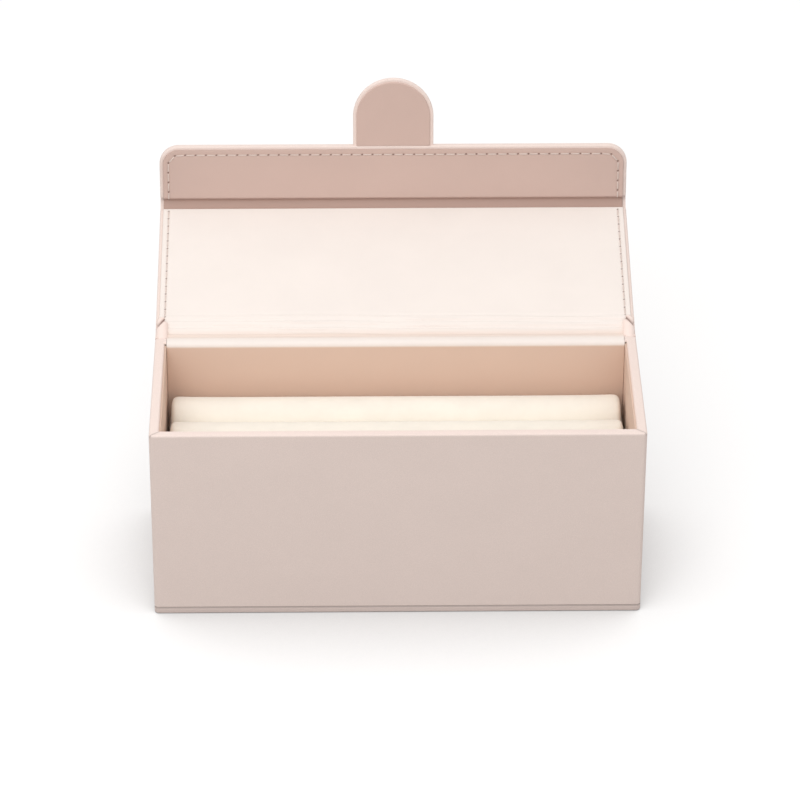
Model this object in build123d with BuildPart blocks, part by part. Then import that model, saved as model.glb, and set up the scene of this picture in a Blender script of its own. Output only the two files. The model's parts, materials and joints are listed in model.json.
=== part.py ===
from build123d import *
import os
from math import cos, radians, sin, tan

# Leather ring box with a folding lid: a tray of boards covered in leather stands on a base slab,
# and one wrapped cover runs up the back, over the lid and down a front flap with a magnet tab.
# Millimetres, +Z up, +X to the viewer's right, +Y to the back. The origin is the centre of the
# underside, and the lid is modelled open, as it stands when it is laid back.

# ---- Outside sizes ----
box_width = 140.0
tray_depth = 53.0
rim_height = 60.8

# ---- Sheet materials ----
leather = 0.6
lining = 0.5
turned_leather = 0.4
velvet = 0.8
slab_sheet = 1.8
lid_sheet = 1.5
wall_sheet = 2.2
floor_sheet = 1.9
insert_sheet = 1.5

# ---- Rounding and turned edges ----
corner_radius = 1.2
edge_radius = 0.6
slab_edge_radius = 0.5
slab_bottom_edge = 0.4
lining_bevel = 0.2
lip_radius = 1.5
panel_turn = 8.0
tab_turn = 3.0
wall_turn = 12.0
lining_inset = 1.0
lining_drop = 1.0
end_gap = 0.2

# ---- Lid and flap ----
lid_open_angle = 165.5
flap_fold_angle = 67.5
lid_gap = 0.3
flap_gap = 0.3
axis_inset = 1.2
rear_gutter = 6.7
front_gutter = 2.0
rear_bend_radius = 3.5
gutter_end = 3.5
valley_angle = 120.0
valley_clearance = 0.05
crease_angle = 12.0
flap_length = 18.3
flap_corner_radius = 5.8

# ---- Tab and its magnet ----
tab_width = 24.0
tab_length = 21.0
tab_setback = 0.6
tongue_width = 19.0
tongue_length = 11.0
pocket_clearance = 0.1
magnet_diameter = 12.0
strike_diameter = 14.0
strike_thickness = 1.0

# ---- Ring rolls on their raised platform ----
roll_wall_gap = 1.45
roll_gap = 0.3
roll_tuck = 0.95
roll_height = 22.0
middle_roll_rise = 0.6
roll_crown = 46.5
roll_end_gap = 1.3
roll_end_radius = 2.6
platform_gap = 0.3
leg_inset = 4.0

# ---- Places worked out from the sizes above ----
half_width = box_width / 2
cover_sheet = slab_sheet + leather
slab_top = cover_sheet
base_depth = tray_depth + cover_sheet
tray_front = -base_depth / 2
tray_back = tray_front + tray_depth
cover_back = base_depth / 2
board_top = rim_height - leather
lip_top = board_top + lining
front_outer, front_inner = tray_front + leather, tray_front + leather + wall_sheet
back_outer, back_inner = tray_back - leather, tray_back - leather - wall_sheet
side_outer, side_inner = half_width - leather, half_width - leather - wall_sheet
front_face, back_face = front_inner + lining, back_inner - lining
side_face = side_inner - lining
floor_top = slab_top + floor_sheet
lining_top = rim_height - lining_drop
lip_half = side_face - end_gap
tray_centre = (tray_front + tray_back) / 2
inner_centre = (front_inner + back_inner) / 2
roll_width = (back_face - front_face - 2 * (roll_wall_gap + roll_gap)) / 3
roll_pitch = roll_width + roll_gap


def panel_plane(y, z, rise):
    """Plane on a panel's lined face: x across the box, y up the panel, away from its hinge."""
    return Plane(
        origin=(0, y, z),
        x_dir=(1, 0, 0),
        z_dir=(0, -sin(radians(rise)), cos(radians(rise))),
    )


# Both hinge axes lie in the lined faces, where the closed lid and flap meet the tray's edges.
lid_rise = 180 - lid_open_angle
flap_rise = lid_rise + flap_fold_angle
lid_length = tray_back + axis_inset - (tray_front - flap_gap)
lid_plane = panel_plane(tray_back + axis_inset, rim_height + lid_gap, lid_rise)
fold = lid_plane.from_local_coords((0, lid_length, 0))
flap_plane = panel_plane(fold.Y, fold.Z, flap_rise)
lid_start = rear_gutter
lid_end = lid_length - front_gutter
panel_back = lining + lid_sheet
panel_outside = panel_back + leather
tab_sheet = lid_sheet - tab_setback
tab_centre = flap_length + tab_length - tab_width / 2
tab_board_top = tab_setback + lining
strike_height = rim_height + lid_gap - tab_centre


def section_point(plane, along, height):
    """Point of the side section, as (y, z), from a panel's own length and height."""
    point = plane.from_local_coords((0, along, height))
    return (point.Y, point.Z)


def polar_point(centre, radius, angle):
    """Point of the side section on a circle, the angle counted from +Y towards +Z."""
    return (centre[0] + radius * cos(radians(angle)), centre[1] + radius * sin(radians(angle)))


# ---- Outlines, drawn in by an inset on every wrapped edge but not at the gutters ----
def lid_outline(inset, mode=Mode.ADD):
    """Rectangle between the two gutters."""
    with Locations((0, (lid_start + lid_end) / 2)):
        Rectangle(box_width - 2 * inset, lid_end - lid_start, mode=mode)


def flap_outline(inset, mode=Mode.ADD):
    """Strip with two rounded free corners."""
    half = half_width - inset
    top = flap_length - inset
    radius = max(flap_corner_radius - inset, turned_leather)
    with BuildLine() as outline:
        Polyline((-half, top - radius), (-half, front_gutter), (half, front_gutter), (half, top - radius))
        CenterArc((half - radius, top - radius), radius, 0, 90)
        Line((half - radius, top), (radius - half, top))
        CenterArc((radius - half, top - radius), radius, 90, 90)
    make_face(outline.edges(), mode=mode)


def tab_outline(inset, mode=Mode.ADD):
    """Tongue with a half-round end, standing on the flap's free edge."""
    half = tab_width / 2 - inset
    with BuildLine() as outline:
        Polyline((-half, tab_centre), (-half, flap_length), (half, flap_length), (half, tab_centre))
        CenterArc((0, tab_centre), half, 0, 180)
    make_face(outline.edges(), mode=mode)


# ---- Layers of a wrapped panel, each added to the part that is open ----
def cut_board(plane, outline, top, thickness, turned):
    """Board whose lined side is rebated where the leather is turned over it."""
    with BuildSketch(plane.offset(-top)) as blank:
        outline(leather)
    extrude(blank.sketch, amount=-thickness)
    with BuildSketch(plane.offset(-top)) as rebate:
        outline(leather)
        outline(leather + turned, mode=Mode.SUBTRACT)
    extrude(rebate.sketch, amount=-turned_leather, mode=Mode.SUBTRACT)


def free_edges(plane, faces, gutters):
    """Edges of a panel's faces, without those that end at a gutter line."""
    near = 0.1
    return faces.edges().filter_by(
        lambda edge: all(abs(plane.to_local_coords(edge.center()).Y - line) > near for line in gutters)
    )


def wrap_board(plane, outline, top, thickness, board, gutters):
    """Leather round a board: the panel with rounded edges, less the board inside it."""
    with BuildSketch(plane.offset(-top)) as skin:
        outline(0)
    panel = extrude(skin.sketch, amount=-(thickness + leather))
    fillet(free_edges(plane, panel.faces().filter_by(plane), gutters), radius=edge_radius)
    add(board.part, mode=Mode.SUBTRACT)


def line_panel(plane, outline, top, inset, gutters):
    """Lining sheet with its top edge skived."""
    with BuildSketch(plane.offset(-top)) as sheet:
        outline(inset)
    panel = extrude(sheet.sketch, amount=-lining)
    face = panel.faces().filter_by(plane).sort_by(Axis(plane.origin, plane.z_dir))[-1:]
    chamfer(free_edges(plane, face, gutters), length=lining_bevel)


def fill_tongue_space(clearance, mode):
    """Tab board's tongue, with a clearance all round for the pocket that takes it."""
    with BuildSketch(flap_plane.offset(-tab_board_top + clearance)) as tongue:
        with Locations((0, flap_length - (tongue_length + clearance) / 2)):
            Rectangle(tongue_width + 2 * clearance, tongue_length + clearance)
    extrude(tongue.sketch, amount=-(tab_sheet + clearance), mode=mode)


# ---- Base slab and back of the cover ----
with BuildPart() as base_board:
    with BuildSketch(Plane.XY.offset(leather)):
        Rectangle(box_width - 2 * leather, base_depth - 2 * leather)
    extrude(amount=slab_sheet)

with BuildPart() as base_cover:
    with BuildSketch():
        RectangleRounded(box_width, base_depth, corner_radius)
    extrude(amount=slab_top)
    top_rim = base_cover.faces().sort_by(Axis.Z)[-1]
    rear_top = top_rim.edges().group_by(Axis.Y)[-1]
    fillet([edge for edge in top_rim.edges() if edge not in rear_top], radius=slab_edge_radius)
    chamfer(base_cover.faces().sort_by(Axis.Z)[0].edges(), length=slab_bottom_edge)
    add(base_board.part, mode=Mode.SUBTRACT)

# The back board stops where the leather starts to bend back into the lid's gutter.
bend_normal = -(panel_outside + rear_bend_radius)
bend_y = cover_back + rear_bend_radius
bend_z = lid_plane.origin.Z + (bend_normal + (bend_y - lid_plane.origin.Y) * sin(radians(lid_rise))) / cos(
    radians(lid_rise)
)
bend_centre = (bend_y, bend_z)

with BuildPart() as back_board:
    with BuildSketch(Plane.XY.offset(slab_top)):
        with Locations((0, tray_back + slab_sheet / 2)):
            Rectangle(box_width - 2 * leather, slab_sheet)
    extrude(amount=bend_z - slab_top)

with BuildPart() as back_cover:
    with BuildSketch(Plane.XY.offset(slab_top)):
        with Locations((0, tray_back + cover_sheet / 2)):
            Rectangle(box_width, cover_sheet)
    extrude(amount=bend_z - slab_top)
    fillet(back_cover.edges().filter_by(Axis.Z).group_by(Axis.Y)[-1], radius=edge_radius)
    add(back_board.part, mode=Mode.SUBTRACT)

# ---- Tray walls: front and back boards run the full width, the sides stand between them ----
wall_height = board_top - slab_top


def wall_section(plane, inner, outer, rebate_side):
    """Wall section with a rebate at the top of its inner side for the turned leather."""
    with BuildSketch(plane) as section:
        with Locations(((inner + outer) / 2, slab_top + wall_height / 2)):
            Rectangle(abs(outer - inner), wall_height)
        with Locations((inner + rebate_side * turned_leather / 2, board_top - wall_turn / 2)):
            Rectangle(turned_leather, wall_turn, mode=Mode.SUBTRACT)
    return section.sketch


with BuildPart() as front_wall:
    rebate_end = side_inner + turned_leather
    extrude(wall_section(Plane.YZ, front_inner, front_outer, -1), amount=rebate_end, both=True)
    with BuildSketch(Plane.XZ.offset(-front_inner)):
        with Locations((rebate_end, slab_top), (-side_outer, slab_top)):
            Rectangle(side_outer - rebate_end, wall_height, align=Align.MIN)
    extrude(amount=wall_sheet)
    with BuildSketch(Plane.XZ.offset(-front_outer)):
        with Locations((0, strike_height)):
            Circle(strike_diameter / 2)
    extrude(amount=-strike_thickness, mode=Mode.SUBTRACT)

with BuildPart() as back_wall:
    with BuildSketch(Plane.YZ):
        with Locations(((back_inner + back_outer) / 2, slab_top + wall_height / 2)):
            Rectangle(wall_sheet, wall_height)
    extrude(amount=side_outer, both=True)
    lip_edge = back_wall.edges().filter_by(Axis.X).group_by(Axis.Z)[-1].sort_by(Axis.Y)[0]
    fillet(lip_edge, radius=lip_radius - lining)

with BuildPart() as right_wall:
    extrude(
        wall_section(Plane.XZ.offset(-back_inner), side_inner, side_outer, 1),
        amount=back_inner - front_inner,
    )

with BuildPart() as left_wall:
    add(mirror(right_wall.part, about=Plane.YZ, mode=Mode.PRIVATE))

with BuildPart() as tray_floor:
    with BuildSketch(Plane.XY.offset(slab_top)):
        with Locations((0, inner_centre)):
            Rectangle(2 * side_inner, back_inner - front_inner)
    extrude(amount=floor_sheet)

with BuildPart() as strike_plate:
    with BuildSketch(Plane.XZ.offset(-front_outer)):
        with Locations((0, strike_height)):
            Circle(strike_diameter / 2)
    extrude(amount=-strike_thickness)

# Leather goes round the tray, over the rim and down inside; it is open where the lip crosses.
with BuildPart() as tray_wrap:
    with BuildSketch(Plane.XY.offset(slab_top)):
        with Locations((0, tray_centre)):
            RectangleRounded(box_width, tray_depth, corner_radius)
        with Locations((0, inner_centre)):
            Rectangle(2 * side_inner, back_inner - front_inner, mode=Mode.SUBTRACT)
    extrude(amount=rim_height - slab_top)
    wrap_rims = tray_wrap.faces().sort_by(Axis.Z)[-1].edges()
    fillet(wrap_rims, radius=edge_radius)
    for inner_piece in (front_wall, back_wall, left_wall, right_wall, strike_plate):
        add(inner_piece.part, mode=Mode.SUBTRACT)
    with BuildSketch(Plane.YZ):
        with Locations((back_inner, board_top)):
            Rectangle(tray_back - back_inner, leather, align=Align.MIN)
    extrude(amount=lip_half + end_gap, both=True, mode=Mode.SUBTRACT)
    with BuildSketch(Plane.YZ):
        with Locations((back_inner, board_top - lip_radius)):
            Rectangle(wall_sheet, lip_radius, align=Align.MIN)
    extrude(amount=side_outer, both=True, mode=Mode.SUBTRACT)

# ---- Linings of the tray ----
with BuildPart() as front_lining:
    with BuildSketch(Plane.YZ):
        with Locations((front_inner, floor_top)):
            Rectangle(lining, lining_top - floor_top, align=Align.MIN)
    extrude(amount=side_face, both=True)
    chamfer(front_lining.edges().filter_by(Axis.X).group_by(Axis.Z)[-1].sort_by(Axis.Y)[-1], lining_bevel)

with BuildPart() as right_lining:
    with BuildSketch(Plane.XZ.offset(-back_inner)):
        with Locations((side_face, floor_top)):
            Rectangle(lining, lining_top - floor_top, align=Align.MIN)
    extrude(amount=back_inner - front_inner)
    chamfer(right_lining.edges().filter_by(Axis.Y).group_by(Axis.Z)[-1].sort_by(Axis.X)[0], lining_bevel)

with BuildPart() as left_lining:
    add(mirror(right_lining.part, about=Plane.YZ, mode=Mode.PRIVATE))

# The back lining turns over the back wall in a rounded lip, and goes on into the gutter.
with BuildPart() as back_lining:
    inner_lip = lip_radius - lining
    with BuildSketch(Plane.YZ):
        with BuildLine():
            Polyline((back_inner, board_top - inner_lip), (back_inner, floor_top), (back_face, floor_top))
            Line((back_face, floor_top), (back_face, lip_top - lip_radius))
            CenterArc((back_face + lip_radius, lip_top - lip_radius), lip_radius, 90, 90)
            Polyline(
                (back_face + lip_radius, lip_top),
                (tray_back, lip_top),
                (tray_back, board_top),
                (back_inner + inner_lip, board_top),
            )
            CenterArc((back_inner + inner_lip, board_top - inner_lip), inner_lip, 90, 90)
        make_face()
    extrude(amount=lip_half, both=True)

# ---- Rear gutter: leather from the back cover round to the lid, its ends turned in ----
bend_end = 90 + lid_rise
rear_inside = rear_bend_radius + leather
lid_edge_outside = section_point(lid_plane, lid_start, -panel_outside)
lid_edge_back = section_point(lid_plane, lid_start, -panel_back)

with BuildPart() as rear_gutter_cover:
    with BuildSketch(Plane.YZ):
        with BuildLine():
            CenterArc(bend_centre, rear_bend_radius, bend_end, 180 - bend_end)
            Polyline(
                polar_point(bend_centre, rear_bend_radius, bend_end),
                lid_edge_outside,
                lid_edge_back,
                polar_point(bend_centre, rear_inside, bend_end),
            )
            CenterArc(bend_centre, rear_inside, bend_end, 180 - bend_end)
            Line(polar_point(bend_centre, rear_inside, 180), polar_point(bend_centre, rear_bend_radius, 180))
        make_face()
    extrude(amount=half_width, both=True)
    end_crown = polar_point(bend_centre, rear_inside + lining + leather, valley_angle)
    end_foot = polar_point(bend_centre, rear_inside, 180 - crease_angle)
    end_top = section_point(lid_plane, lid_start, -lining)
    with BuildSketch(Plane.YZ.offset(half_width - gutter_end)) as end_roll:
        with BuildLine():
            ThreePointArc((tray_back, lip_top), end_crown, end_top)
            Polyline(end_top, lid_edge_back, polar_point(bend_centre, rear_inside, bend_end))
            CenterArc(bend_centre, rear_inside, bend_end, 180 - crease_angle - bend_end)
            Polyline(end_foot, (tray_back, end_foot[1]), (tray_back, lip_top))
        make_face()
    extrude(amount=gutter_end)
    mirror(about=Plane.YZ)

with BuildPart() as rear_gutter_lining:
    valley = polar_point(bend_centre, rear_inside + valley_clearance, valley_angle)
    valley_top = polar_point(bend_centre, rear_inside + valley_clearance + lining, valley_angle)
    lid_lining_top = section_point(lid_plane, lid_start, 0)
    lid_lining_back = section_point(lid_plane, lid_start, -lining)
    with BuildSketch(Plane.YZ):
        with BuildLine():
            ThreePointArc((tray_back, board_top), valley, lid_lining_back)
            Line(lid_lining_back, lid_lining_top)
            ThreePointArc(lid_lining_top, valley_top, (tray_back, lip_top))
            Line((tray_back, lip_top), (tray_back, board_top))
        make_face()
    extrude(amount=half_width - gutter_end - end_gap, both=True)
    add(rear_gutter_cover.part, mode=Mode.SUBTRACT)

# ---- Lid ----
lid_gutters = (lid_start, lid_end)

with BuildPart() as lid_board:
    cut_board(lid_plane, lid_outline, lining, lid_sheet, panel_turn)

with BuildPart() as lid_cover:
    wrap_board(lid_plane, lid_outline, lining, lid_sheet, lid_board, lid_gutters)

with BuildPart() as lid_lining:
    line_panel(lid_plane, lid_outline, 0, lining_inset, lid_gutters)

# ---- Front gutter: both layers bend round one centre above the fold, symmetric to lid and flap ----
crease_height = front_gutter / tan(radians(flap_fold_angle / 2))
crease_centre = section_point(lid_plane, lid_end, crease_height)
crease_inside = crease_height + panel_back
lid_side = lid_rise - 90
flap_side = flap_rise - 90

with BuildPart() as front_gutter_cover:
    with BuildSketch(Plane.YZ):
        with BuildLine():
            CenterArc(crease_centre, crease_inside, lid_side, flap_fold_angle)
            Line(
                polar_point(crease_centre, crease_inside, flap_side),
                polar_point(crease_centre, crease_inside + leather, flap_side),
            )
            CenterArc(crease_centre, crease_inside + leather, lid_side, flap_fold_angle)
            Line(
                polar_point(crease_centre, crease_inside + leather, lid_side),
                polar_point(crease_centre, crease_inside, lid_side),
            )
        make_face()
    extrude(amount=half_width, both=True)

with BuildPart() as front_gutter_lining:
    near, far = lid_side + crease_angle, flap_side - crease_angle
    crease_top = crease_inside - lining
    with BuildSketch(Plane.YZ):
        with BuildLine():
            Line(polar_point(crease_centre, crease_height, lid_side), polar_point(crease_centre, crease_top, near))
            CenterArc(crease_centre, crease_top, near, far - near)
            Polyline(
                polar_point(crease_centre, crease_top, far),
                polar_point(crease_centre, crease_height, flap_side),
                polar_point(crease_centre, crease_height + lining, flap_side),
                polar_point(crease_centre, crease_inside, far),
            )
            CenterArc(crease_centre, crease_inside, near, far - near)
            Polyline(
                polar_point(crease_centre, crease_inside, near),
                polar_point(crease_centre, crease_height + lining, lid_side),
                polar_point(crease_centre, crease_height, lid_side),
            )
        make_face()
    extrude(amount=half_width - lining_inset, both=True)

# ---- Flap ----
flap_gutters = (front_gutter,)

with BuildPart() as flap_board:
    cut_board(flap_plane, flap_outline, lining, lid_sheet, panel_turn)
    fill_tongue_space(pocket_clearance, Mode.SUBTRACT)

with BuildPart() as flap_cover:
    wrap_board(flap_plane, flap_outline, lining, lid_sheet, flap_board, flap_gutters)
    fill_tongue_space(pocket_clearance, Mode.SUBTRACT)

with BuildPart() as flap_lining:
    line_panel(flap_plane, flap_outline, 0, lining_inset, flap_gutters)

# ---- Tab: its board has a tongue let into the flap, and carries the magnet ----
tab_gutters = (flap_length,)

with BuildPart() as tab_magnet:
    with BuildSketch(flap_plane.offset(-tab_board_top)):
        with Locations((0, tab_centre)):
            Circle(magnet_diameter / 2)
    extrude(amount=-tab_sheet)

with BuildPart() as tab_blank:
    cut_board(flap_plane, tab_outline, tab_board_top, tab_sheet, tab_turn)

with BuildPart() as tab_board:
    add(tab_blank.part)
    fill_tongue_space(0, Mode.ADD)
    add(tab_magnet.part, mode=Mode.SUBTRACT)

with BuildPart() as tab_cover:
    wrap_board(flap_plane, tab_outline, tab_board_top, tab_sheet, tab_blank, tab_gutters)

with BuildPart() as tab_lining:
    line_panel(flap_plane, tab_outline, tab_setback, lining_inset, tab_gutters)

# ---- Raised platform for the rolls ----
platform_top = roll_crown - roll_height
platform_front, platform_back = front_face + platform_gap, back_face - platform_gap
platform_half = side_face - platform_gap

with BuildPart() as insert_platform:
    with BuildSketch(Plane.XY.offset(platform_top)):
        with Locations((0, (platform_front + platform_back) / 2)):
            Rectangle(2 * platform_half, platform_back - platform_front)
    extrude(amount=-insert_sheet)


def stand_leg(leg_y):
    """Leg board under the platform, from the tray's floor up."""
    with BuildSketch(Plane.XY.offset(floor_top)) as foot:
        with Locations((0, leg_y)):
            Rectangle(2 * platform_half, insert_sheet)
    extrude(foot.sketch, amount=platform_top - insert_sheet - floor_top)


with BuildPart() as front_insert_leg:
    stand_leg(platform_front + leg_inset)

with BuildPart() as rear_insert_leg:
    stand_leg(platform_back - leg_inset)


# ---- Ring rolls: a square-ended foam core under velvet that rounds the ends off ----
def roll_form(centre, crown, margin, end_margin):
    """Roll with swelling sides, drawn in by a margin except at its foot, and by another at its ends."""
    half = roll_width / 2 - margin
    foot = roll_width / 2 - roll_tuck - margin
    shoulder = crown - roll_width / 2
    swell = (platform_top + shoulder) / 2
    with BuildSketch(Plane.YZ) as section:
        with BuildLine():
            Line((centre - foot, platform_top), (centre + foot, platform_top))
            ThreePointArc(
                (centre + foot, platform_top),
                (centre + (foot + 3 * half) / 4, swell),
                (centre + half, shoulder),
            )
            ThreePointArc((centre + half, shoulder), (centre, shoulder + half), (centre - half, shoulder))
            ThreePointArc(
                (centre - half, shoulder),
                (centre - (foot + 3 * half) / 4, swell),
                (centre - foot, platform_top),
            )
        make_face()
    return extrude(section.sketch, amount=side_face - roll_end_gap - end_margin, both=True)


rolls = []
middle = (front_face + back_face) / 2
for place, centre, crown in (
    ("front", middle - roll_pitch, roll_crown),
    ("middle", middle, roll_crown + middle_roll_rise),
    ("rear", middle + roll_pitch, roll_crown),
):
    with BuildPart() as roll_core:
        roll_form(centre, crown, velvet, 2 * velvet)
    with BuildPart() as roll_velvet:
        roll = roll_form(centre, crown, 0, 0)
        ends = roll.faces().filter_by(Axis.X).edges()
        fillet([edge for edge in ends if edge.center().Z > platform_top + 1], roll_end_radius)
        add(roll_core.part, mode=Mode.SUBTRACT)
    rolls += [(place + "_roll_core", roll_core), (place + "_roll_velvet", roll_velvet)]

# ---- One named file for each piece ----
pieces = [
    ("base_board", base_board),
    ("base_cover", base_cover),
    ("back_board", back_board),
    ("back_cover", back_cover),
    ("front_wall", front_wall),
    ("back_wall", back_wall),
    ("left_wall", left_wall),
    ("right_wall", right_wall),
    ("tray_floor", tray_floor),
    ("strike_plate", strike_plate),
    ("tray_wrap", tray_wrap),
    ("front_lining", front_lining),
    ("back_lining", back_lining),
    ("left_lining", left_lining),
    ("right_lining", right_lining),
    ("insert_platform", insert_platform),
    ("front_insert_leg", front_insert_leg),
    ("rear_insert_leg", rear_insert_leg),
    ("rear_gutter_cover", rear_gutter_cover),
    ("rear_gutter_lining", rear_gutter_lining),
    ("lid_board", lid_board),
    ("lid_cover", lid_cover),
    ("lid_lining", lid_lining),
    ("front_gutter_cover", front_gutter_cover),
    ("front_gutter_lining", front_gutter_lining),
    ("flap_board", flap_board),
    ("flap_cover", flap_cover),
    ("flap_lining", flap_lining),
    ("tab_board", tab_board),
    ("tab_cover", tab_cover),
    ("tab_lining", tab_lining),
    ("tab_magnet", tab_magnet),
] + rolls

os.makedirs("parts", exist_ok=True)
for name, piece in pieces:
    piece.part.label = name
    export_step(piece.part, "parts/" + name + ".step")
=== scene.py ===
"""Looks of a leather ring box with a folding lid: leather, linings, stitching, padded rolls and light.

Lengths are in metres, in the frame's own axes: +X to the right, +Y to the back, +Z up.
"""

import json
from math import cos, pi, radians, sin, tan

import bmesh
import bpy
import numpy as np
from mathutils import Matrix, Vector


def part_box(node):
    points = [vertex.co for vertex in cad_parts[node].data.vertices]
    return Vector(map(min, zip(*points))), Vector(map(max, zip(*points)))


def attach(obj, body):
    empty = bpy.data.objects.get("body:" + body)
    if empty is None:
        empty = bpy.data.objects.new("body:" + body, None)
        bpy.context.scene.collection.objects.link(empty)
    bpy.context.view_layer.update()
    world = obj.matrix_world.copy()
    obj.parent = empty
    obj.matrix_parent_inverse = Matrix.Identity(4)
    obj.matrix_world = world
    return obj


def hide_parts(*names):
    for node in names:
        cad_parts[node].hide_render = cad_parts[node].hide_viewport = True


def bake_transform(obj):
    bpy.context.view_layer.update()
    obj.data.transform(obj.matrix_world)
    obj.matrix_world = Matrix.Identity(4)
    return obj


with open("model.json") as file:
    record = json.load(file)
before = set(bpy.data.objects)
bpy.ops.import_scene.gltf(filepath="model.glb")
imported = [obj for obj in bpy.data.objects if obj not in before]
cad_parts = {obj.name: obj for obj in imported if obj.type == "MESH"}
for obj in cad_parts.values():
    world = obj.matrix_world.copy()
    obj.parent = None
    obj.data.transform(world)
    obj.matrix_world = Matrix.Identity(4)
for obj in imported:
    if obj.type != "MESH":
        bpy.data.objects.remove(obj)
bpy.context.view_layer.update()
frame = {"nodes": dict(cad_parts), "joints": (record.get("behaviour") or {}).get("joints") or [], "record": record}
NODES = frame["nodes"]
MM = 0.001

# ---- Places read from the frame ----
JOINTS = {joint["name"]: joint for joint in frame["joints"]}
LID_AXIS = np.array(JOINTS["lid_hinge"]["pos_m"][1:])
FOLD_AXIS = np.array(JOINTS["flap_hinge"]["pos_m"][1:])
LID_LENGTH = np.linalg.norm(FOLD_AXIS - LID_AXIS)
LID_RISE = np.arctan2(*(FOLD_AXIS - LID_AXIS)[::-1])
FLAP_FOLD = radians(JOINTS["flap_hinge"]["range_deg"][1])
FLAP_RISE = LID_RISE + FLAP_FOLD
TRAY_LOW, TRAY_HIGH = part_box("tray_wrap")
LIP_LOW, LIP_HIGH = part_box("back_lining")
SIDE_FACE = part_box("right_lining")[0].x
FLOOR_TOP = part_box("tray_floor")[1].z
PLATFORM_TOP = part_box("insert_platform")[1].z
HALF_WIDTH = TRAY_HIGH.x
RIM_WIDTH = HALF_WIDTH - SIDE_FACE

# ---- Sizes of the leather work ----
SHEET_THICKNESS = 0.42 * MM
REAR_GUTTER = 6.7 * MM
FRONT_GUTTER = 2.0 * MM
FLAP_LENGTH = 18.3 * MM
FLAP_CORNER = 5.8 * MM
LINING_INSET = 1.0 * MM
LIP_RADIUS = 1.5 * MM
STITCH_PITCH = 3.1 * MM
STITCH_INSET = 2.6 * MM
THREAD_RADIUS = 0.20 * MM
HOLE_RADIUS = 0.27 * MM
HOLE_DEPTH = 0.30 * MM
GROOVE_WIDTH = 0.6 * MM
GROOVE_DEPTH = 0.07 * MM
GROOVE_PITCH = 0.4 * MM
STITCH_DIP = 0.16 * MM
STITCH_ARCH = 0.22 * MM
PLY_LENGTH = 0.35 * MM


# ---- Shader maths ----
class Number:
    """A number that varies over a surface: a node's output, with + - * as Math nodes."""

    def __init__(self, finish, socket):
        self.finish, self.socket = finish, socket

    def _math(self, operation, first, second):
        return self.finish.node("ShaderNodeMath", {"operation": operation}, {0: first, 1: second})

    def __add__(self, other):
        return self._math("ADD", self, other)

    def __radd__(self, other):
        return self._math("ADD", other, self)

    def __sub__(self, other):
        return self._math("SUBTRACT", self, other)

    def __rsub__(self, other):
        return self._math("SUBTRACT", other, self)

    def __mul__(self, other):
        return self._math("MULTIPLY", self, other)


class Finish:
    """One material round a Principled shader. node() adds any other node to it."""

    def __init__(self, name, **constants):
        self.material = bpy.data.materials.new(name)
        self.material.use_nodes = True
        self.tree = self.material.node_tree
        self.shader = self.tree.nodes["Principled BSDF"]
        self.set(self.shader, {key.replace("_", " "): value for key, value in constants.items()})

    def set(self, node, sockets):
        """Feeds sockets of a node, by name or number, with values or with Numbers."""
        for key, value in sockets.items():
            if isinstance(value, Number):
                self.tree.links.new(value.socket, node.inputs[key])
            else:
                node.inputs[key].default_value = value

    def node(self, kind, settings=None, sockets=None, output=0):
        """Adds a node with its settings and its sockets, and returns one of its outputs."""
        node = self.tree.nodes.new(kind)
        for key, value in (settings or {}).items():
            if key == "stops":
                for stop, (place, colour) in zip(ramp_elements(node, len(value)), value):
                    stop.position, stop.color = place, colour
            else:
                setattr(node, key, value)
        self.set(node, sockets or {})
        return Number(self, node.outputs[output])

    def noise(self, place, scale, detail=2.0, roughness=0.5):
        """Soft noise, about 0.5, with one blotch to every 1/scale metres."""
        sockets = {"Vector": place, "Scale": scale, "Detail": detail, "Roughness": roughness}
        return self.node("ShaderNodeTexNoise", {}, sockets)

    def ramp(self, value, *stops):
        """Colour ramp over a number."""
        return self.node("ShaderNodeValToRGB", {"stops": stops}, {0: value})

    def smooth(self, value, low, high):
        """0 below low and 1 above high, with a soft step between them."""
        return self.node(
            "ShaderNodeMapRange",
            {"interpolation_type": "SMOOTHSTEP"},
            {"Value": value, "From Min": low, "From Max": high},
        )

    def mix(self, factor, first, second):
        """Mix of two colours."""
        return self.node(
            "ShaderNodeMix", {"data_type": "RGBA"}, {0: factor, 6: first, 7: second}, output=2
        )

    def bump(self, height, depth, below=None):
        """Normal for a height from 0 to 1 that stands for a depth in metres, over another bump."""
        sockets = {"Strength": 1.0, "Distance": depth, "Height": height}
        if below is not None:
            sockets["Normal"] = below
        return self.node("ShaderNodeBump", {}, sockets)

    def place(self):
        """Object coordinates, in metres."""
        return self.node("ShaderNodeTexCoord", output=3)

    def surface(self, **sockets):
        """Feeds the Principled shader's own sockets."""
        self.set(self.shader, {key.replace("_", " "): value for key, value in sockets.items()})
        return self.material


def ramp_elements(node, count):
    """The stops of a colour ramp, as many as asked for."""
    elements = node.color_ramp.elements
    while len(elements) < count:
        elements.new(0.5)
    return elements


def linear(red, green, blue):
    """sRGB colour of 0 to 255 as a linear colour with alpha."""
    srgb = np.array([red, green, blue]) / 255
    rgb = np.where(srgb <= 0.04045, srgb / 12.92, ((srgb + 0.055) / 1.055) ** 2.4)
    return (*rgb.tolist(), 1.0)


def shade(colour, factor):
    """A linear colour made darker or lighter."""
    return (*[min(part * factor, 1.0) for part in colour[:3]], 1.0)


# ---- Finishes ----
LEATHER_PINK = linear(239, 220, 211)
LID_CREAM = linear(236, 226, 219)
# Painted shade: the flap and tab linings are the pink leather with their shade painted into a darker base colour.
SHADED_FLAP_PINK = linear(205, 178, 167)
# Painted shade in the front gutter's crease.
CREASE_SHADE_PINK = linear(184, 155, 143)
# Painted shade: the inner walls are the pink leather made darker and deeper in tone for the shade and bounced
# light inside the tray.
SHADED_WALL_PINK = linear(221, 193, 175)
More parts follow.
